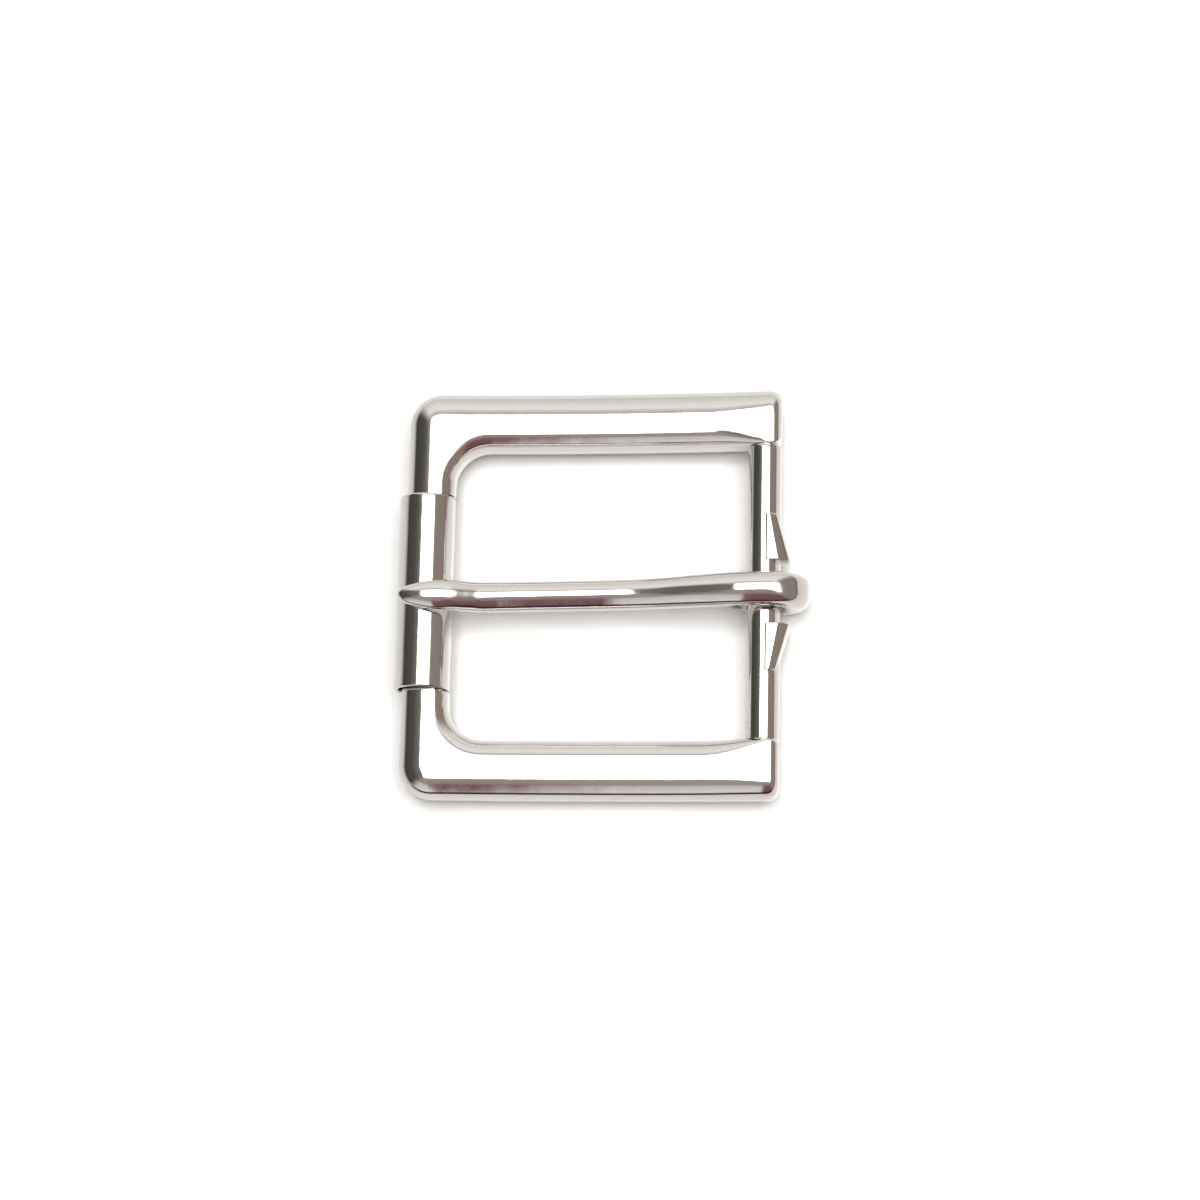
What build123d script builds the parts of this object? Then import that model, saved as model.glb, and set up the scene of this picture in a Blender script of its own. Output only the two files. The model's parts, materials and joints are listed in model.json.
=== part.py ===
# A roller buckle with a heel bar, for a 35 mm strap, lying on its back.
# +Z is the way that its front faces, +X runs from the roller to the heel bar, and Y is across the strap.
# The origin is under the middle of the whole buckle, on the surface that it lies on.
from build123d import *
from math import sqrt
import os

# Driving dimensions, in mm
strap_width = 35.0
strap_play = 1.0            # the window is this much wider than the strap
arm_width = 7.2
frame_length = 45.9         # front edge of the frame to the heel ends of the arms
frame_thickness = 4.0
front_bar_width = 5.8
outer_corner = 4.0          # plan radius of the two front corners
window_corner = 4.2         # plan radius inside the front corners
bow_radius = 300.0          # the frame dips in the middle along this curve
edge_round = 2.4            # front edges of the arms and of the front bar
back_round = 0.6
end_round = 0.5             # heel ends of the arms

heel_bar_diameter = 4.1
heel_inset = 2.1            # heel bar's axis, in from the heel ends of the arms
heel_drop = 0.25            # heel bar's axis, below the middle of the arms' thickness
heel_root = 1.4             # how far the bar runs into each arm

lug_length = 5.8
lug_inset = 0.3             # lug's inner edge, past the bar's axis
lug_flare = 1.15            # lug's wide end, out past the bar
lug_rise = 0.25             # lug's flat front, above the crest of the bar
lug_lift = 0.3              # lug's underside, above the bottom of the bar
lug_round = 0.9
lug_shift = -0.2            # middle of the gap between the lugs, across the buckle

roller_diameter = 6.76
roller_wall = 0.55
roller_length = 24.0
roller_proud = 0.88         # roller, out past the front edge of the frame
roller_lip = 0.25
roller_seam = 0.3
roller_end_play = 0.2
running_clearance = 0.09    # radial, in the roller and in the prong's eye

prong_root_width = 4.0
prong_root_thickness = 2.8
prong_root_length = 5.0     # full-sized part of the shank beside the eye
prong_side_play = 1.85      # each side of the prong, to the lugs
prong_width = 3.65
prong_thickness = 3.2
prong_dip = 2.3             # lowest part of the shank's underside, below its root
prong_fall_middle = 6.2     # halfway down behind the roller, from the roller's axis
prong_dip_from = 9.6        # start of the low part, from the roller's axis
prong_dip_sag = 0.1         # lower again at the far end of the low part
prong_dip_to = 15.0         # end of the low part, from the heel bar's axis
prong_rise_from = 10.5      # halfway up to the root, from the heel bar's axis
prong_rest_gap = 0.08       # prong over the roller
prong_slope = 0.6           # underside, from the top of the roller down to its inner side
point_width = 3.1           # the point is the part that lies on the roller
point_thickness = 1.7
point_swell = 0.6           # thicker again at the inner side of the roller
nose_length = 0.9
nose_width = 2.1
nose_thickness = 1.4
nose_rise = 0.1
tip_width = 0.9
tip_thickness = 0.8
tip_rise = 0.35             # underside of the tip, above the rest of the point
tip_inset = 0.7             # tip, in from the outside of the roller
tip_shift = 0.85            # how far the tip leans to one side
eye_reach = 5.7             # heel bar's axis to the outside of the eye
eye_round = 0.85
tail_thickness = 2.0
tail_reach = 5.8
tail_slit = 0.35
tail_slit_overrun = 1.0     # slit runs on past the tail
tail_slit_height = 1.65
tail_tip_radius = 0.95
tail_lift = 0.5

# Places that follow from them
window_width = strap_width + strap_play
frame_width = window_width + 2 * arm_width
overall_length = roller_proud + frame_length - heel_inset + eye_reach
front_x = -overall_length / 2 + roller_proud
end_x = front_x + frame_length
middle_x = front_x + frame_length / 2
heel_x = end_x - heel_inset
bar_radius = heel_bar_diameter / 2
eye_radius = bar_radius + running_clearance
heel_z = eye_radius + tail_thickness
rim_z = heel_z + heel_drop + frame_thickness / 2


def face_z(x):
    """Height of the bowed front face, which is rim_z at both ends of the frame."""
    rise = sqrt(bow_radius**2 - (frame_length / 2) ** 2)
    return rim_z + rise - sqrt(bow_radius**2 - (x - middle_x) ** 2)


roller_radius = roller_diameter / 2
bore_radius = roller_radius - roller_wall
journal_radius = bore_radius - running_clearance
journal_length = roller_length + 2 * roller_end_play
roller_x = front_x - roller_proud + roller_radius
roller_z = face_z(roller_x) - frame_thickness / 2
roller_top = roller_z + roller_radius
lug_gap = prong_root_width + 2 * prong_side_play
tip_x = front_x - roller_proud + tip_inset
lean = tip_shift / (heel_x - tip_x)


def shank_y(x):
    """Middle line of the shank, which leans to one side toward its tip."""
    return lug_shift - lean * (heel_x - x)


os.makedirs("parts", exist_ok=True)

# Tool that turns the middle of the front bar down to the roller's journal
with BuildPart() as journal_cut:
    with Locations((roller_x, 0, roller_z)):
        Box(4 * roller_radius, journal_length, 4 * roller_radius)
        Cylinder(journal_radius, journal_length, rotation=(90, 0, 0), mode=Mode.SUBTRACT)

# Lugs: two wedges on the heel bar that keep the prong in the middle
with BuildPart() as lugs:
    with BuildSketch(Plane((0, lug_shift, heel_z - bar_radius + lug_lift))):
        with BuildLine():
            Polyline(
                (heel_x + lug_inset, lug_gap / 2),
                (heel_x + bar_radius + lug_flare, lug_gap / 2),
                (heel_x + bar_radius, lug_gap / 2 + lug_length),
                (heel_x + lug_inset, lug_gap / 2 + lug_length),
                close=True,
            )
        make_face()
    extrude(amount=2 * bar_radius - lug_lift + lug_rise)
    flared_face = lugs.faces().filter_by(lambda face: face.normal_at().X > 0.5)
    fillet(flared_face.edges().filter_by(lambda edge: abs((edge % 0.5).Z) < 0.5), lug_round)
    mirror(about=Plane.XZ.offset(-lug_shift))

# Slab that the frame is cut from runs on past both ends of it
slab_overhang = 1.0


def on_heel_end(edge):
    """Whether an edge lies in the flat heel end of an arm."""
    return abs(edge.center().X - end_x) < 0.01


# Frame: one casting with two arms, the front bar, the heel bar and its two lugs
with BuildPart() as frame:
    with BuildSketch(Plane.XZ) as side_view:
        with BuildLine() as side_line:
            slab_ends = (front_x - slab_overhang, middle_x, end_x + slab_overhang)
            front_points = [(x, face_z(x)) for x in slab_ends]
            back_points = [(x, z - frame_thickness) for x, z in reversed(front_points)]
            front_curve = ThreePointArc(*front_points)
            back_curve = ThreePointArc(*back_points)
            Line(front_curve @ 1, back_curve @ 0)
            Line(back_curve @ 1, front_curve @ 0)
        make_face()
    extrude(amount=frame_width / 2, both=True)
    with BuildSketch(Plane.XY) as plan_view:
        with Locations((middle_x, 0)):
            Rectangle(frame_length, frame_width)
        fillet(plan_view.vertices().group_by(Axis.X)[0], outer_corner)
        with BuildSketch(mode=Mode.PRIVATE) as window:
            with Locations((end_x, 0)):
                Rectangle(2 * (frame_length - front_bar_width), window_width)
            fillet(window.vertices().group_by(Axis.X)[0], window_corner)
        add(window.sketch, mode=Mode.SUBTRACT)
    extrude(amount=2 * rim_z, both=True, mode=Mode.INTERSECT)
    back_face, front_face = frame.faces().filter_by(
        lambda face: abs(face.normal_at().Z) > 0.9
    ).sort_by(Axis.Z)
    fillet([edge for edge in back_face.edges() if not on_heel_end(edge)], back_round)
    front_face = frame.faces().sort_by(Axis.Z)[-1]
    fillet([edge for edge in front_face.edges() if not on_heel_end(edge)], edge_round)
    fillet(frame.edges().filter_by(on_heel_end), end_round)
    add(journal_cut.part, mode=Mode.SUBTRACT)
    with Locations((heel_x, 0, heel_z)):
        Cylinder(bar_radius, window_width + 2 * heel_root, rotation=(90, 0, 0))
    add(lugs.part)
frame.part.label = "frame"

# Roller: a tube rolled from sheet, with its open seam underneath
with BuildPart() as roller:
    with Locations((roller_x, 0, roller_z)):
        Cylinder(roller_radius, roller_length, rotation=(90, 0, 0))
        Cylinder(bore_radius, roller_length, rotation=(90, 0, 0), mode=Mode.SUBTRACT)
    fillet(roller.edges().filter_by(GeomType.CIRCLE), roller_lip)
    with Locations((roller_x, 0, roller_z - roller_radius)):
        Box(roller_seam, roller_length, 2 * roller_radius, mode=Mode.SUBTRACT)
roller.part.label = "roller"

# Prong: a bar with an oval section, bent round the heel bar, with its tail closed up under the shank
rest_z = roller_top + prong_rest_gap
root_z = heel_z + eye_radius
middle_width = (prong_width + prong_root_width) / 2
middle_thickness = (prong_thickness + prong_root_thickness) / 2
fall_from = rest_z - prong_slope
fall_to = root_z - prong_dip + prong_dip_sag
low_from = roller_x + prong_dip_from
low_to = heel_x - prong_dip_to
low_z = root_z - prong_dip
fall_thickness = (point_thickness + point_swell + prong_thickness) / 2
shank_stations = (
    # x, underside, width, thickness
    (tip_x, rest_z + tip_rise, tip_width, tip_thickness),
    (tip_x + nose_length, rest_z + nose_rise, nose_width, nose_thickness),
    (roller_x, rest_z, point_width, point_thickness),
    (roller_x + roller_radius, fall_from, prong_width, point_thickness + point_swell),
    (roller_x + prong_fall_middle, (fall_from + fall_to) / 2, prong_width, fall_thickness),
    (low_from, fall_to, prong_width, prong_thickness),
    ((low_from + low_to) / 2, (fall_to + low_z) / 2, prong_width, prong_thickness),
    (low_to, low_z, prong_width, prong_thickness),
    (heel_x - prong_rise_from, root_z - prong_dip / 2, middle_width, middle_thickness),
    (heel_x - prong_root_length, root_z, prong_root_width, prong_root_thickness),
    (heel_x, root_z, prong_root_width, prong_root_thickness),
)
eye_outer = (eye_radius + prong_root_thickness + eye_radius + tail_thickness) / 2
eye_shift = eye_reach - eye_outer
eye_rise = (prong_root_thickness - tail_thickness) / 2
with BuildPart() as eye:
    with BuildSketch(Plane.XZ.offset(-lug_shift)):
        with Locations((heel_x + eye_shift, heel_z + eye_rise)):
            Circle(eye_outer)
        with Locations((heel_x - tail_reach + tail_tip_radius, heel_z + tail_lift)):
            Circle(tail_tip_radius)
        make_hull()
    extrude(amount=prong_root_width / 2, both=True)
    fillet(eye.faces().filter_by(Axis.Y).edges(), eye_round)

with BuildPart() as prong:
    for x, underside, width, thickness in shank_stations:
        section_centre = (x, shank_y(x), underside + thickness / 2)
        with BuildSketch(Plane(section_centre, x_dir=(0, 1, 0), z_dir=(1, 0, 0))):
            Ellipse(width / 2, thickness / 2)
    loft()
    add(eye.part)
    with Locations((heel_x, lug_shift, heel_z)):
        Cylinder(eye_radius, 2 * prong_root_width, rotation=(90, 0, 0), mode=Mode.SUBTRACT)
    slit_length = tail_reach + tail_slit_overrun - eye_radius / 2
    slit_x = heel_x - (eye_radius + slit_length) / 2
    with Locations((slit_x, lug_shift, heel_z + tail_slit_height)):
        Box(slit_length, 2 * prong_root_width, tail_slit, mode=Mode.SUBTRACT)
prong.part.label = "prong"

for piece in (frame, roller, prong):
    export_step(piece.part, f"parts/{piece.part.label}.step")
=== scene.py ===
import json
import math

import bmesh
import bpy
from mathutils import Matrix, Vector


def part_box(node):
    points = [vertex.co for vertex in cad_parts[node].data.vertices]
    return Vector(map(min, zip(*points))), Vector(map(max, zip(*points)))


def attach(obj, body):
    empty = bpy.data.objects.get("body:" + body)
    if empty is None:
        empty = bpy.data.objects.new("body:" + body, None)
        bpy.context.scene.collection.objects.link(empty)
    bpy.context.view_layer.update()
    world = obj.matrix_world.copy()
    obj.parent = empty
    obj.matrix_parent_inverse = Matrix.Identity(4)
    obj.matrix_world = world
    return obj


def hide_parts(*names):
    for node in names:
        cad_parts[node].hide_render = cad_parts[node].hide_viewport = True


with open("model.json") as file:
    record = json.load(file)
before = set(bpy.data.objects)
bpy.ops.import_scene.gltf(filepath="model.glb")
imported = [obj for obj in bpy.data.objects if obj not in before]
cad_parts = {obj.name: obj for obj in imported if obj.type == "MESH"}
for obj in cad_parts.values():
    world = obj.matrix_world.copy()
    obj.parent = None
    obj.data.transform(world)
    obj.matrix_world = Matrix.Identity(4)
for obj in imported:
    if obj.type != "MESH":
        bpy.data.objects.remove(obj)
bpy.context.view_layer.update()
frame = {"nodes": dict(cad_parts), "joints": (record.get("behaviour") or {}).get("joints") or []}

mm = 0.001
joints = {joint["name"]: joint for joint in frame["joints"]}

# All the sizes below are in millimetres, and each piece is scaled to metres when it is finished
heelAxis = Vector(joints["prong_hinge"]["pos_m"]) / mm      # heel bar's axis, beside the prong's eye
rollerAxis = Vector(joints["roller_spin"]["pos_m"]) / mm
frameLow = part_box("frame")[0] / mm
rollerLow, rollerHigh = (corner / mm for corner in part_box("roller"))
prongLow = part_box("prong")[0] / mm


def smoothStep(low, high, value):
    t = min(max((value - low) / (high - low), 0.0), 1.0)
    return t * t * (3 - 2 * t)


def mix(a, b, t):
    return a + (b - a) * t


def startRing(bm, places):
    # a closed ring of points, one for each place
    made = bmesh.ops.create_circle(bm, segments=len(places), radius=1.0)["verts"]
    for vert, place in zip(made, places):
        vert.co = place
    return made


def growRing(bm, ring, places):
    # extrudes the ring's edges once and moves the new ring to its places
    inRing = set(ring)
    edges = [e for e in {e for v in ring for e in v.link_edges} if e.is_boundary or e.is_wire]
    edges = [e for e in edges if e.verts[0] in inRing and e.verts[1] in inRing]
    made = bmesh.ops.extrude_edge_only(bm, edges=edges)["geom"]
    fresh = {item for item in made if isinstance(item, bmesh.types.BMVert)}
    grown = []
    for vert in ring:
        grown.append(next(e.other_vert(vert) for e in vert.link_edges if e.other_vert(vert) in fresh))
    for vert, place in zip(grown, places):
        vert.co = place
    return grown


def capRing(bm, ring, lip=0.04):
    # closes an open end with a face, held flat by a narrow border
    face = bmesh.ops.contextual_create(bm, geom=list(ring))["faces"][0]
    bmesh.ops.inset_region(bm, faces=[face], thickness=lip)
    return face


def finishPiece(bm, name, body, node, sharpAngle=38):
    # turns a mesh in millimetres into a finished piece
    bmesh.ops.remove_doubles(bm, verts=bm.verts, dist=0.0005)
    bmesh.ops.recalc_face_normals(bm, faces=bm.faces)
    bmesh.ops.scale(bm, vec=(mm, mm, mm), verts=bm.verts)
    for face in bm.faces:
        face.smooth = True
    for edge in bm.edges:
        edge.smooth = len(edge.link_faces) == 2 and edge.calc_face_angle() < math.radians(sharpAngle)
    mesh = bpy.data.meshes.new(name)
    bm.to_mesh(mesh)
    bm.free()
    piece = bpy.data.objects.new(name, mesh)
    bpy.context.scene.collection.objects.link(piece)
    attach(piece, body)
    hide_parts(node)
    return piece


# Frame: one casting, two arms and a front bar, then the heel bar with its two lugs
frameLook = {
    "armWidth": 7.2,
    "barWidth": 5.8,
    "thickness": 4.0,
    "outerCorner": 4.0,
    "windowCorner": 4.2,
    "outerRound": 3.2,         # soft front edges, wider than they are deep on the outside
    "outerDeep": 2.35,
    "innerRound": 2.35,
    "barInnerRound": 2.15,
    "backRound": 0.6,
    "heelOuterRound": 2.5,     # the face widens toward the heel
    "heelInnerRound": 0.45,
    "widening": 9.0,           # length over which it does
    "leastRound": 0.05,
    "endRound": 1.5,
    "endPastBar": 2.1,         # arms' ends, past the heel bar's axis
    "barDrop": 0.25,           # heel bar's axis, below the middle of the arms
    "bowRadius": 300.0,
    "bowReach": 15.7,          # it runs out straight past here, from the middle
    "frontArcSteps": 12,
    "backArcSteps": 4,
    "flatSteps": 4,
    "cornerSteps": 18,
    "armSteps": 26,
    "slantSteps": 8,
    "endSteps": 6,
    "squareReach": 4.5,        # ribs are square to the arm up to here, from the window's corner
    "shoulderReach": 0.5,      # and to the front bar from here, past the journal
    "shoulderStep": 0.03,      # length over which the bar steps down to the journal
    "endGap": 0.2,             # ribs keep this far from the rounded ends
    "journalPlay": 0.2,        # shoulders to the roller's ends
    "journalRadius": 2.74,
}
armEndX = heelAxis.x + frameLook["endPastBar"]
frontX = frameLow.x
midX = (armEndX + frontX) / 2
rimZ = heelAxis.z + frameLook["barDrop"] + frameLook["thickness"] / 2
halfOut = -frameLow.y
halfIn = halfOut - frameLook["armWidth"]
windowX = frontX + frameLook["barWidth"]
journalHalf = rollerHigh.y + frameLook["journalPlay"]


def faceHeight(x):
    # the front face dips along a gentle arc, which runs out straight toward both ends
    r, reach = frameLook["bowRadius"], frameLook["bowReach"]

    def rise(u):
        return min(u, reach) ** 2 / (2 * r) + max(u - reach, 0.0) * reach / r

    return rimZ - rise((armEndX - frontX) / 2) + rise(abs(x - midX))


def frameRibs():
    # (outer point, inner point, outer normal, inner normal) in plan, from one heel end round to the other
    ribs = []
    outR, inR = frameLook["outerCorner"], frameLook["windowCorner"]
    squareX = windowX + inR + frameLook["squareReach"]
    squareY = journalHalf + frameLook["shoulderReach"]
    armSteps, slantSteps = frameLook["armSteps"], frameLook["slantSteps"]
    up, left = Vector((0, 1)), Vector((-1, 0))
    for i in range(armSteps + 1):
        x = mix(armEndX, squareX, i / armSteps)
        ribs.append((Vector((x, halfOut)), Vector((x, halfIn)), up, up))
    for i in range(1, slantSteps):
        t = i / slantSteps
        out = Vector((mix(squareX, frontX + outR, t), halfOut))
        inner = Vector((mix(squareX, windowX + inR, t), halfIn))
        ribs.append((out, inner, up, up))
    for i in range(frameLook["cornerSteps"] + 1):
        a = math.pi / 2 * i / frameLook["cornerSteps"]
        turn = Vector((-math.sin(a), math.cos(a)))
        out = Vector((frontX + outR, halfOut - outR)) + turn * outR
        inner = Vector((windowX + inR, halfIn - inR)) + turn * inR
        ribs.append((out, inner, turn, turn))
    for i in range(1, slantSteps + 1):
        t = i / slantSteps
        out = Vector((frontX, mix(halfOut - outR, squareY, t)))
        inner = Vector((windowX, mix(halfIn - inR, squareY, t)))
        ribs.append((out, inner, left, left))
    shoulderY = journalHalf + frameLook["shoulderStep"]
    for y in (shoulderY, journalHalf, journalHalf - frameLook["shoulderReach"], journalHalf / 2, 0.0):
        ribs.append((Vector((frontX, y)), Vector((windowX, y)), left, left))
    ribs += [tuple(Vector((v.x, -v.y)) for v in rib) for rib in reversed(ribs[:-1])]     # the other half
    return ribs


def ribRing(rib, inset=0.0, slide=0.0):
    # the section's points at one rib; inset shrinks it and slide moves it along the arm, for the rounded ends
    out, inner, outNormal, innerNormal = rib
    near = smoothStep(armEndX - frameLook["widening"], armEndX, out.x)
    onBar = -innerNormal.x
    depth, least = frameLook["thickness"], frameLook["leastRound"]
    inRound = mix(frameLook["innerRound"], frameLook["barInnerRound"], onBar)
    outRound = max(mix(frameLook["outerRound"], frameLook["heelOuterRound"], near) - inset, least)
    outDeep = max(frameLook["outerDeep"] - inset, least)
    inRound = max(mix(inRound, frameLook["heelInnerRound"], near) - inset, least)
    back = max(frameLook["backRound"] - inset, least)

    def outer(p, b):
        return (out - outNormal * (p + inset), b)

    def inward(p, b):
        return (inner + innerNormal * (p + inset), b)

    def arc(side, wide, high, steps, behind):
        made = []
        for k in range(steps + 1):
            a = math.pi / 2 * k / steps
            b = inset + high * (1 - math.sin(a))
            made.append(side(wide * (1 - math.cos(a)), depth - b if behind else b))
        return made

    def flat(a, b):
        n = frameLook["flatSteps"]
        return [(a[0].lerp(b[0], k / n), mix(a[1], b[1], k / n)) for k in range(1, n)]

    frontOut = arc(outer, outRound, outDeep, frameLook["frontArcSteps"], False)
    frontIn = list(reversed(arc(inward, inRound, inRound, frameLook["frontArcSteps"], False)))
    backIn = arc(inward, back, back, frameLook["backArcSteps"], True)
    backOut = list(reversed(arc(outer, back, back, frameLook["backArcSteps"], True)))
    points = frontOut + flat(frontOut[-1], frontIn[0]) + frontIn
    points += backIn + flat(backIn[-1], backOut[0]) + backOut
    places = []
    for plan, b in points:
        x = plan.x + slide
        place = Vector((x, plan.y, faceHeight(x) - b))
        if abs(plan.y) <= journalHalf + 0.001 and x < 0:
            arm = Vector((x - rollerAxis.x, place.z - rollerAxis.z))
            if arm.length > frameLook["journalRadius"]:
                arm = arm.normalized() * frameLook["journalRadius"]
                place.x, place.z = rollerAxis.x + arm.x, rollerAxis.z + arm.y
        places.append(place)
    return places


def endRings(rib):
    # rings that round one heel end off, from the arm out to the flat of the end
    r, steps = frameLook["endRound"], frameLook["endSteps"]
    rings = []
    for i in range(1, steps + 1):
        a = math.pi / 2 * i / steps
        rings.append(ribRing(rib, r * (1 - math.cos(a)), -r * (1 - math.sin(a))))
    return rings


def makeFrameBody(bm):
    ribs = frameRibs()
    first, last = ribs[0], ribs[-1]
    rings = list(reversed(endRings(first)))
    rings.append(ribRing(first, 0.0, -frameLook["endRound"]))
    for rib in ribs[1:-1]:
        if rib[0].x < armEndX - frameLook["endRound"] - frameLook["endGap"]:
            rings.append(ribRing(rib))
    rings.append(ribRing(last, 0.0, -frameLook["endRound"]))
    rings += endRings(last)
    ring = startRing(bm, rings[0])
    capRing(bm, ring)
    for places in rings[1:]:
        ring = growRing(bm, ring, places)
    capRing(bm, ring)


# Heel bar and its lugs, which are part of the frame
heelLook = {
    "radius": 2.05,
    "rootDepth": 0.45,         # how far the bar runs into each arm
    "rootFall": 0.55,          # and how much thinner it is there
    "rootFrom": 0.1,           # where it starts to thin, short of the arm
    "rootSteps": 8,
    "barStops": (4.5, 3.0),    # rings beside the prong
    "straightFrom": 0.35,      # ring that keeps the bar straight beside its root
    "lugGap": 7.7,
    "lugLength": 5.8,
    "lugInset": 0.3,           # lug's inner edge, past the bar's axis
    "lugFlare": 1.15,          # its wide end, out past the bar
    "lugRise": 0.25,           # its front, above the crest of the bar
    "lugLift": 0.3,            # its underside, above the bottom of the bar
    "lugFarFlare": -0.45,      # its narrow end, inside the bar's side
    "lugSlope": 1.25,          # width of the sloped side at the wide end
    "lugFarSlope": 0.7,
    "lugFall": 0.42,           # steepness where the slope starts
    "lugBend": 0.3,            # and how much steeper it gets
    "lugEdge": 0.14,
    "lugSteps": 10,
    "lugCap": 0.03,
    "segments": 48,
}


def makeHeelBar(bm):
    depth, steps, rootFrom = heelLook["rootDepth"], heelLook["rootSteps"], heelLook["rootFrom"]
    stops = [halfIn + depth * (1 - i / steps) for i in range(steps + 1)]
    stops += [halfIn - rootFrom, halfIn - heelLook["straightFrom"], halfIn / 2, *heelLook["barStops"]]
    stops = stops + [-y for y in reversed(stops)]
    ring = None
    for y in stops:
        sunk = max((abs(y) - halfIn + rootFrom) / (depth + rootFrom), 0.0)
        r = heelLook["radius"] - heelLook["rootFall"] * sunk * sunk
        places = []
        for k in range(heelLook["segments"]):
            a = 2 * math.pi * k / heelLook["segments"]
            places.append(Vector((heelAxis.x + r * math.cos(a), y, heelAxis.z + r * math.sin(a))))
        if ring is None:
            ring = startRing(bm, places)
            capRing(bm, ring)
        else:
            ring = growRing(bm, ring, places)
    capRing(bm, ring)


def makeLug(bm, side):
    # a wedge with a flat front and a sloped side, made of rings from its wide end to its narrow one
    low = heelAxis.z - heelLook["radius"] + heelLook["lugLift"]
    high = heelAxis.z + heelLook["radius"] + heelLook["lugRise"]
    inX = heelAxis.x + heelLook["lugInset"]
    length, edge = heelLook["lugLength"], heelLook["lugEdge"]
    ring = None
    for along, shrink in ((0, edge), (0.3 * edge, 0.3 * edge), (edge, 0), (2 * edge, 0), (length / 2, 0),
                          (length - 2 * edge, 0), (length - edge, 0), (length - 0.3 * edge, 0.3 * edge),
                          (length, edge)):
        t = along / length
        y = heelAxis.y + side * (heelLook["lugGap"] / 2 + along)
        flare = mix(heelLook["lugFlare"], heelLook["lugFarFlare"], t)
        outX = heelAxis.x + heelLook["radius"] + flare - shrink
        wide = mix(heelLook["lugSlope"], heelLook["lugFarSlope"], t)
        top, bottom = high - shrink, low + shrink
        places = [Vector((inX + shrink, y, bottom)), Vector((inX + shrink, y, top - edge))]
        for step, drop in ((0.3, 0.3), (1, 0), (2, 0)):
            places.append(Vector((inX + shrink + step * edge, y, top - drop * edge)))
        for k in range(heelLook["lugSteps"] + 1):
            u = k / heelLook["lugSteps"]
            fall = wide * (heelLook["lugFall"] * u + heelLook["lugBend"] * u * u)
            places.append(Vector((outX - edge - wide * (1 - u), y, top - fall)))
        places.append(Vector((outX - 0.3 * edge, y, top - fall - 0.6 * edge)))
        places.append(Vector((outX, y, top - fall - 1.6 * edge)))
        places += [Vector((outX, y, bottom + 2 * edge)), Vector((outX, y, bottom + edge))]
        places.append(Vector((outX - edge, y, bottom)))
        if ring is None:
            ring = startRing(bm, places)
            capRing(bm, ring, heelLook["lugCap"])
        else:
            ring = growRing(bm, ring, places)
    capRing(bm, ring, heelLook["lugCap"])


def makeFrame():
    bm = bmesh.new()
    makeFrameBody(bm)
    makeHeelBar(bm)
    for side in (1, -1):
        makeLug(bm, side)
    return finishPiece(bm, "frame_casting", "frame", "frame")


# Roller: a tube rolled from sheet, its seam underneath
rollerLook = {
    "wall": 0.55,
    "lip": 0.26,
    "lipSteps": 5,
    "straightFrom": 1.6,       # where the wall is quite straight, in lips from its end
    "seam": 0.3,
    "steps": 120,
    "sharpAngle": 50,
}


def makeRoller():
    bm = bmesh.new()
    outR = (rollerHigh.x - rollerLow.x) / 2
    inR = outR - rollerLook["wall"]
    half = rollerHigh.y
    lip, n = rollerLook["lip"], rollerLook["lipSteps"]
    profile = []
    centres = ((half - lip, outR - lip, 90), (half - lip, inR + lip, 0),
               (-half + lip, inR + lip, -90), (-half + lip, outR - lip, -180))
    for y, r, start in centres:
        for k in range(n + 1):
            a = math.radians(start - 90 * k / n)
            profile.append(Vector((0, y + lip * math.cos(a), r + lip * math.sin(a))))
    run = half - rollerLook["straightFrom"] * lip
    # four more points keep the long walls straight beside their lips
    for place, y, r in ((2 * n + 2, run, inR), (2 * n + 3, -run, inR),
                        (4 * n + 6, -run, outR), (4 * n + 7, run, outR)):
        profile.insert(place, Vector((0, y, r)))
    seamTurn = math.asin(rollerLook["seam"] / 2 / outR)
    ring = startRing(bm, [p + Vector((rollerAxis.x, 0, rollerAxis.z)) for p in profile])
    bmesh.ops.rotate(bm, verts=ring, cent=rollerAxis, matrix=Matrix.Rotation(math.pi + seamTurn, 3, "Y"))
    edges = list({e for v in ring for e in v.link_edges})
    bmesh.ops.contextual_create(bm, geom=edges)
    spun = bmesh.ops.spin(bm, geom=edges, cent=rollerAxis, axis=(0, 1, 0), angle=2 * math.pi - 2 * seamTurn,
                          steps=rollerLook["steps"], use_duplicate=False)
    last = [item for item in spun["geom_last"] if isinstance(item, bmesh.types.BMEdge)]
    if not [f for f in spun["geom_last"] if isinstance(f, bmesh.types.BMFace)]:
        bmesh.ops.contextual_create(bm, geom=last)
    return finishPiece(bm, "roller_tube", "roller", "roller", sharpAngle=rollerLook["sharpAngle"])


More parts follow.
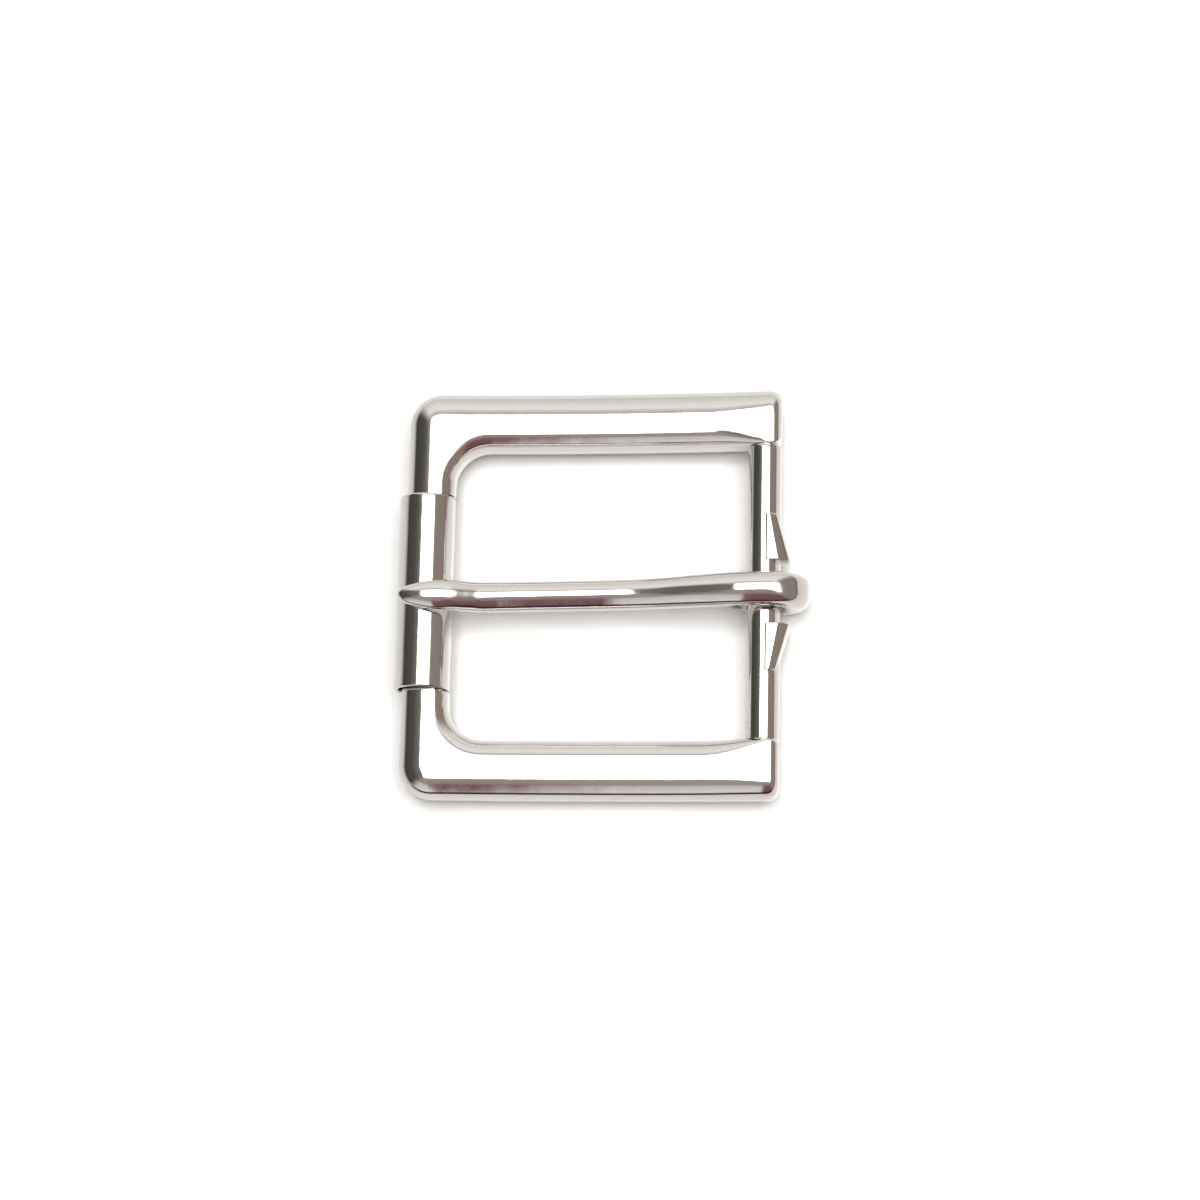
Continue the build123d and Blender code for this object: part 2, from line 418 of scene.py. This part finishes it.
# Prong: an oval bar from its tip back over the heel bar, round it and under
prongLook = {
    "squareness": 1.8,
    "eyeSquareness": 3.0,      # flatter round the outside of the eye
    "eyeBegins": (0.5, 3.2),   # where that comes in, past the heel bar's axis
    "segments": 40,
    "ringsPerRow": 5,
    "cap": 0.02,
    "sharpAngle": 70,
    "lean": 0.85,              # how far the tip is to one side
    "ridge": 0.2,              # crest of the bar, off its middle
}
prongRows = [
    # x, z, width, thickness; the eye's rows are from the heel bar's axis
    (-24.42, 8.3, 0.5, 0.4),
    (-24.25, 8.32, 1.0, 0.8),
    (-23.6, 8.45, 1.9, 1.3),
    (-22.4, 8.53, 2.7, 1.65),
    (-20.8, 8.5, 3.3, 1.85),
    (-19.4, 8.325, 3.55, 2.05),
    (-18.3, 7.95, 3.6, 2.3),
    (-16.6, 7.04, 3.64, 2.6),
    (-14.9, 6.195, 3.65, 2.85),
    (-13.2, 5.96, 3.65, 3.0),
    (-10.5, 5.85, 3.65, 3.1),
    (-4.0, 5.655, 3.65, 3.15),
    (2.5, 5.585, 3.66, 3.15),
    (7.0, 5.995, 3.75, 3.05),
    (10.5, 6.665, 3.88, 2.95),
    (13.5, 7.245, 3.97, 2.85),
    (16.5, 7.7, 4.0, 2.8),
]
eyeRows = [
    # turn from straight up, inner radius, thickness, width
    (0, 2.2, 2.8, 4.0),
    (25, 2.2, 2.9, 4.0),
    (50, 2.2, 3.15, 4.0),
    (75, 2.2, 3.4, 4.0),
    (95, 2.2, 3.45, 4.0),
    (115, 2.2, 3.25, 4.0),
    (140, 2.2, 2.75, 3.95),
    (165, 2.2, 2.0, 3.9),
    (190, 2.2, 1.65, 3.85),
    (212, 2.3, 1.5, 3.7),
    (232, 2.75, 1.4, 3.4),
    (250, 3.55, 1.1, 3.0),
    (262, 4.45, 0.8, 2.4),
    (268, 5.0, 0.4, 1.5),
]


def prongStations():
    # a smooth run of (x, z, width, thickness) through all the rows
    rows = [Vector((x, z, w, t)) for x, z, w, t in prongRows]
    for turn, inner, thickness, width in eyeRows:
        a = math.radians(turn)
        r = inner + thickness / 2
        rows.append(Vector((heelAxis.x + r * math.sin(a), heelAxis.z + r * math.cos(a), width, thickness)))
    made = []
    n = prongLook["ringsPerRow"]
    padded = [rows[0] * 2 - rows[1]] + rows + [rows[-1] * 2 - rows[-2]]
    for a, b, c, d in zip(padded, padded[1:], padded[2:], padded[3:]):
        for k in range(n):
            t = k / n
            made.append(0.5 * (2 * b + (c - a) * t + (2 * a - 5 * b + 4 * c - d) * t * t
                               + (3 * b - a - 3 * c + d) * t * t * t))
    made.append(rows[-1])
    return made


def prongRing(station, ahead, before):
    # the bar's oval section at one station, square to the way the bar runs
    x, z, width, thickness = station
    along = Vector((ahead[0] - before[0], ahead[1] - before[1])).normalized()
    out = Vector((-along.y, along.x))
    lean = prongLook["lean"] * max(0.0, heelAxis.x - x) / (heelAxis.x - prongLow.x)
    if ahead[0] < before[0]:
        lean = 0.0                       # the tail goes back straight
    begins, ends = prongLook["eyeBegins"]
    aroundBar = smoothStep(heelAxis.x + begins, heelAxis.x + ends, x)
    power = 2 / mix(prongLook["squareness"], prongLook["eyeSquareness"], aroundBar)
    places = []
    for k in range(prongLook["segments"]):
        a = 2 * math.pi * k / prongLook["segments"]
        c, s = math.cos(a), math.sin(a)
        across = math.copysign(abs(c) ** power, c) * width / 2 + prongLook["ridge"] * s
        up = math.copysign(abs(s) ** power, s) * thickness / 2
        places.append(Vector((x + out.x * up, heelAxis.y - lean + across, z + out.y * up)))
    return places


def makeProng():
    bm = bmesh.new()
    stations = prongStations()
    ring = None
    for i, station in enumerate(stations):
        ahead = stations[min(i + 1, len(stations) - 1)]
        before = stations[max(i - 1, 0)]
        places = prongRing(station, ahead, before)
        if ring is None:
            ring = startRing(bm, places)
            capRing(bm, ring, prongLook["cap"])
        else:
            ring = growRing(bm, ring, places)
    capRing(bm, ring, prongLook["cap"])
    return finishPiece(bm, "prong_bar", "prong", "prong", sharpAngle=prongLook["sharpAngle"])


# Bright nickel: slightly warm, faintly wavy from the polishing wheel
nickelLook = {
    "light": (0.73, 0.708, 0.682, 1),
    "warm": (0.675, 0.64, 0.608, 1),
    "roughLow": 0.045,
    "roughHigh": 0.13,
    "worn": (0.785, 0.767, 0.74, 1),          # edges rubbed brighter
    "wornFrom": 0.52,
    "wornTo": 0.62,
    "patchScale": 260.0,
    "smudgeScale": 900.0,
    "pitScale": 5200.0,
    "waviness": 0.000017,      # in metres
    "pits": 0.0000012,
}


def makeNickel(name, waveScale, seed):
    # seed moves the pattern, so that no two pieces share it
    material = bpy.data.materials.new(name)
    material.use_nodes = True
    nodes, links = material.node_tree.nodes, material.node_tree.links
    shader = nodes["Principled BSDF"]
    shader.inputs["Metallic"].default_value = 1.0
    place = nodes.new("ShaderNodeTexCoord")
    shift = nodes.new("ShaderNodeMapping")
    shift.inputs["Location"].default_value = (seed, seed * 0.7, seed * 1.3)
    links.new(place.outputs["Object"], shift.inputs["Vector"])

    def noise(scale, detail):
        node = nodes.new("ShaderNodeTexNoise")
        node.inputs["Scale"].default_value = scale
        node.inputs["Detail"].default_value = detail
        links.new(shift.outputs["Vector"], node.inputs["Vector"])
        return node

    tint = nodes.new("ShaderNodeMix")
    tint.data_type = "RGBA"
    tint.inputs["A"].default_value = nickelLook["light"]
    tint.inputs["B"].default_value = nickelLook["warm"]
    patches = noise(nickelLook["patchScale"], 3.0)
    links.new(patches.outputs["Fac"], tint.inputs["Factor"])
    edges = nodes.new("ShaderNodeNewGeometry")
    worn = nodes.new("ShaderNodeMapRange")
    worn.inputs["From Min"].default_value = nickelLook["wornFrom"]
    worn.inputs["From Max"].default_value = nickelLook["wornTo"]
    links.new(edges.outputs["Pointiness"], worn.inputs["Value"])
    wear = nodes.new("ShaderNodeMix")
    wear.data_type = "RGBA"
    wear.inputs["B"].default_value = nickelLook["worn"]
    links.new(worn.outputs["Result"], wear.inputs["Factor"])
    links.new(tint.outputs["Result"], wear.inputs["A"])
    links.new(wear.outputs["Result"], shader.inputs["Base Color"])

    smudge = noise(nickelLook["smudgeScale"], 4.0)
    rough = nodes.new("ShaderNodeMapRange")
    rough.inputs["From Min"].default_value = 0.35
    rough.inputs["From Max"].default_value = 0.75
    rough.inputs["To Min"].default_value = nickelLook["roughLow"]
    rough.inputs["To Max"].default_value = nickelLook["roughHigh"]
    links.new(smudge.outputs["Fac"], rough.inputs["Value"])
    links.new(rough.outputs["Result"], shader.inputs["Roughness"])

    wave = noise(waveScale, 1.5)
    pits = noise(nickelLook["pitScale"], 2.0)
    waveBump = nodes.new("ShaderNodeBump")
    waveBump.inputs["Distance"].default_value = nickelLook["waviness"]
    links.new(wave.outputs["Fac"], waveBump.inputs["Height"])
    pitBump = nodes.new("ShaderNodeBump")
    pitBump.inputs["Distance"].default_value = nickelLook["pits"]
    links.new(pits.outputs["Fac"], pitBump.inputs["Height"])
    links.new(waveBump.outputs["Normal"], pitBump.inputs["Normal"])
    links.new(pitBump.outputs["Normal"], shader.inputs["Normal"])
    return material


def paint(piece, material):
    piece.data.materials.clear()
    piece.data.materials.append(material)


print("making the frame")
framePiece = makeFrame()
paint(framePiece, makeNickel("castNickel", 220.0, 0.0))
print("making the roller")
rollerPiece = makeRoller()
paint(rollerPiece, makeNickel("rolledNickel", 320.0, 0.31))
print("making the prong")
prongPiece = makeProng()
paint(prongPiece, makeNickel("bentNickel", 260.0, 0.57))
for node, piece in (("frame", framePiece), ("roller", rollerPiece), ("prong", prongPiece)):
    paint(frame["nodes"][node], piece.data.materials[0])


# Studio: a pale floor, one wide soft light overhead, and the room round it
studioLook = {
    "floorSize": 1.6,
    "floor": (0.81, 0.81, 0.805, 1),
    "floorGrain": (0.85, 0.85, 0.845, 1),
    "floorRoughness": 0.33,
    "floorSheen": 1.85,
    "floorGrainScale": 400.0,
    "brightness": 1.1,
    "overhead": 5.2,
    "overheadBlue": 0.985,
    "wallBlend": 0.15,         # how softly one wall turns into the next
    "sideShare": (0.25, 0.75),
    "frontChange": (-0.13, -0.085),           # where the front wall turns from its left part to its right
    "overheadEdges": (-12.5, 37, -17, 20),      # left, right, front and back, in degrees from straight up
    "overheadBlur": 0.03,
    "walls": {
        # angle from straight overhead, as a share of a half turn, and the tone there
        "left": [
            (0.00, (0.20, 0.20, 0.18)),
            (0.12, (0.18, 0.18, 0.16)),
            (0.22, (0.09, 0.09, 0.08)),
            (0.41, (0.06, 0.06, 0.05)),
            (0.45, (0.40, 0.40, 0.40)),
            (0.50, (0.70, 0.70, 0.70)),
        ],
        "right": [
            (0.00, (0.95, 0.95, 0.90)),
            (0.21, (0.75, 0.72, 0.67)),
            (0.25, (0.30, 0.26, 0.22)),
            (0.46, (0.30, 0.25, 0.22)),
            (0.50, (0.17, 0.13, 0.11)),
        ],
        "behind": [
            (0.00, (0.55, 0.55, 0.50)),
            (0.15, (0.60, 0.57, 0.55)),
            (0.22, (1.00, 1.00, 0.97)),
            (0.50, (0.70, 0.70, 0.67)),
        ],
        "frontLeft": [
            (0.00, (0.38, 0.35, 0.32)),
            (0.22, (0.38, 0.35, 0.32)),
            (0.25, (0.65, 0.61, 0.63)),
            (0.42, (0.85, 0.82, 0.86)),
            (0.45, (0.04, 0.03, 0.03)),
            (0.50, (0.04, 0.03, 0.03)),
        ],
        "frontRight": [
            (0.00, (0.38, 0.35, 0.32)),
            (0.19, (0.33, 0.28, 0.25)),
            (0.24, (0.22, 0.11, 0.12)),
            (0.40, (0.20, 0.09, 0.10)),
            (0.45, (0.03, 0.02, 0.02)),
            (0.50, (0.03, 0.02, 0.02)),
        ],
    },
}


def makeFloor():
    bm = bmesh.new()
    bmesh.ops.create_grid(bm, x_segments=1, y_segments=1, size=studioLook["floorSize"] / 2)
    mesh = bpy.data.meshes.new("studio_floor")
    bm.to_mesh(mesh)
    bm.free()
    floor = bpy.data.objects.new("studio_floor", mesh)
    bpy.context.scene.collection.objects.link(floor)
    material = bpy.data.materials.new("palePaper")
    material.use_nodes = True
    nodes, links = material.node_tree.nodes, material.node_tree.links
    shader = nodes["Principled BSDF"]
    shader.inputs["Roughness"].default_value = studioLook["floorRoughness"]
    shader.inputs["IOR"].default_value = studioLook["floorSheen"]
    grain = nodes.new("ShaderNodeTexNoise")
    grain.inputs["Scale"].default_value = studioLook["floorGrainScale"]
    place = nodes.new("ShaderNodeTexCoord")
    links.new(place.outputs["Object"], grain.inputs["Vector"])
    tone = nodes.new("ShaderNodeMix")
    tone.data_type = "RGBA"
    tone.inputs["A"].default_value = studioLook["floor"]
    tone.inputs["B"].default_value = studioLook["floorGrain"]
    links.new(grain.outputs["Fac"], tone.inputs["Factor"])
    links.new(tone.outputs["Result"], shader.inputs["Base Color"])
    mesh.materials.append(material)
    return floor


def makeRoom():
    world = bpy.data.worlds.new("studio_room")
    bpy.context.scene.world = world
    world.use_nodes = True
    nodes, links = world.node_tree.nodes, world.node_tree.links
    back = nodes["Background"]
    back.inputs["Strength"].default_value = studioLook["brightness"]
    place = nodes.new("ShaderNodeTexCoord")
    parts = nodes.new("ShaderNodeSeparateXYZ")
    links.new(place.outputs["Generated"], parts.inputs["Vector"])

    def calc(kind, a, b=None):
        node = nodes.new("ShaderNodeMath")
        node.operation = kind
        for socket, value in zip(node.inputs, (a, b)):
            if value is None:
                continue
            if isinstance(value, (int, float)):
                socket.default_value = value
            else:
                links.new(value, socket)
        return node.outputs["Value"]

    def ramp(value, stops):
        node = nodes.new("ShaderNodeValToRGB")
        elements = node.color_ramp.elements
        while len(elements) < len(stops):
            elements.new(0.5)
        for element, (at, colour) in zip(elements, stops):
            element.position = at
            element.color = (*colour, 1)
        links.new(value, node.inputs["Fac"])
        return node.outputs["Color"]

    def soften(value, low, high):
        node = nodes.new("ShaderNodeMapRange")
        node.interpolation_type = "SMOOTHSTEP"
        node.inputs["From Min"].default_value = min(low, high)
        node.inputs["From Max"].default_value = max(low, high)
        node.inputs["To Min"].default_value = 0.0 if low < high else 1.0
        node.inputs["To Max"].default_value = 1.0 if low < high else 0.0
        links.new(value, node.inputs["Value"])
        return node.outputs["Result"]

    def blend(factor, a, b):
        node = nodes.new("ShaderNodeMix")
        node.data_type = "RGBA"
        links.new(factor, node.inputs["Factor"])
        links.new(a, node.inputs["A"])
        links.new(b, node.inputs["B"])
        return node.outputs["Result"]

    x, y, z = (parts.outputs[name] for name in "XYZ")
    height = calc("DIVIDE", calc("ARCCOSINE", z), math.pi)      # 0 overhead, 0.5 at the horizon
    flat = calc("MAXIMUM", calc("SQRT", calc("SUBTRACT", 1.0, calc("MULTIPLY", z, z))), 0.001)
    toRight, toBehind = calc("DIVIDE", x, flat), calc("DIVIDE", y, flat)
    sides = {name: ramp(height, stops) for name, stops in studioLook["walls"].items()}
    # each wall shows most where it is faced squarely
    wallBlend = studioLook["wallBlend"]
    rightward = soften(toRight, -wallBlend, wallBlend)
    backward = soften(toBehind, -wallBlend, wallBlend)
    frontChange = soften(x, *studioLook["frontChange"])
    across = blend(rightward, sides["left"], sides["right"])
    front = blend(frontChange, sides["frontLeft"], sides["frontRight"])
    along = blend(backward, front, sides["behind"])
    sideways = soften(calc("MULTIPLY", toRight, toRight), *studioLook["sideShare"])
    room = blend(sideways, along, across)
    # the soft light overhead, a rectangle with crisp edges
    leftEnd, rightEnd, frontEnd, backEnd = (math.tan(math.radians(a)) for a in studioLook["overheadEdges"])
    up = calc("MAXIMUM", z, 0.01)
    slopeX, slopeY = calc("DIVIDE", x, up), calc("DIVIDE", y, up)
    blur = studioLook["overheadBlur"]
    lit = soften(slopeX, leftEnd - blur, leftEnd + blur)
    for part in (soften(slopeX, rightEnd + blur, rightEnd - blur),
                 soften(slopeY, frontEnd - blur, frontEnd + blur),
                 soften(slopeY, backEnd + blur, backEnd - blur)):
        lit = calc("MULTIPLY", lit, part)
    lamp = nodes.new("ShaderNodeRGB")
    strength = studioLook["overhead"]
    lamp.outputs["Color"].default_value = (strength, strength, strength * studioLook["overheadBlue"], 1)
    links.new(blend(lit, room, lamp.outputs["Color"]), back.inputs["Color"])


cameraLook = {
    "lens": 93.59,
    "sensor": 36.0,
    "reach": (0.01, 10.0),     # in metres
    "place": (44.2, -81.17, 370.51),
    "right": (0.99302, 0.02135, -0.11596),
    "up": (0.00396, 0.97687, 0.2138),
}


def makeCamera():
    camera = bpy.data.cameras.new("studio_camera")
    camera.sensor_width = cameraLook["sensor"]
    camera.lens = cameraLook["lens"]
    camera.clip_start, camera.clip_end = cameraLook["reach"]
    holder = bpy.data.objects.new("studio_camera", camera)
    bpy.context.scene.collection.objects.link(holder)
    right, up = Vector(cameraLook["right"]), Vector(cameraLook["up"])
    back = right.cross(up)
    turn = Matrix((right, up, back)).transposed().to_4x4()
    holder.matrix_world = Matrix.Translation(Vector(cameraLook["place"]) * mm) @ turn
    bpy.context.scene.camera = holder


print("lighting the studio")
makeFloor()
makeRoom()
makeCamera()
bpy.context.scene.view_settings.view_transform = "Standard"
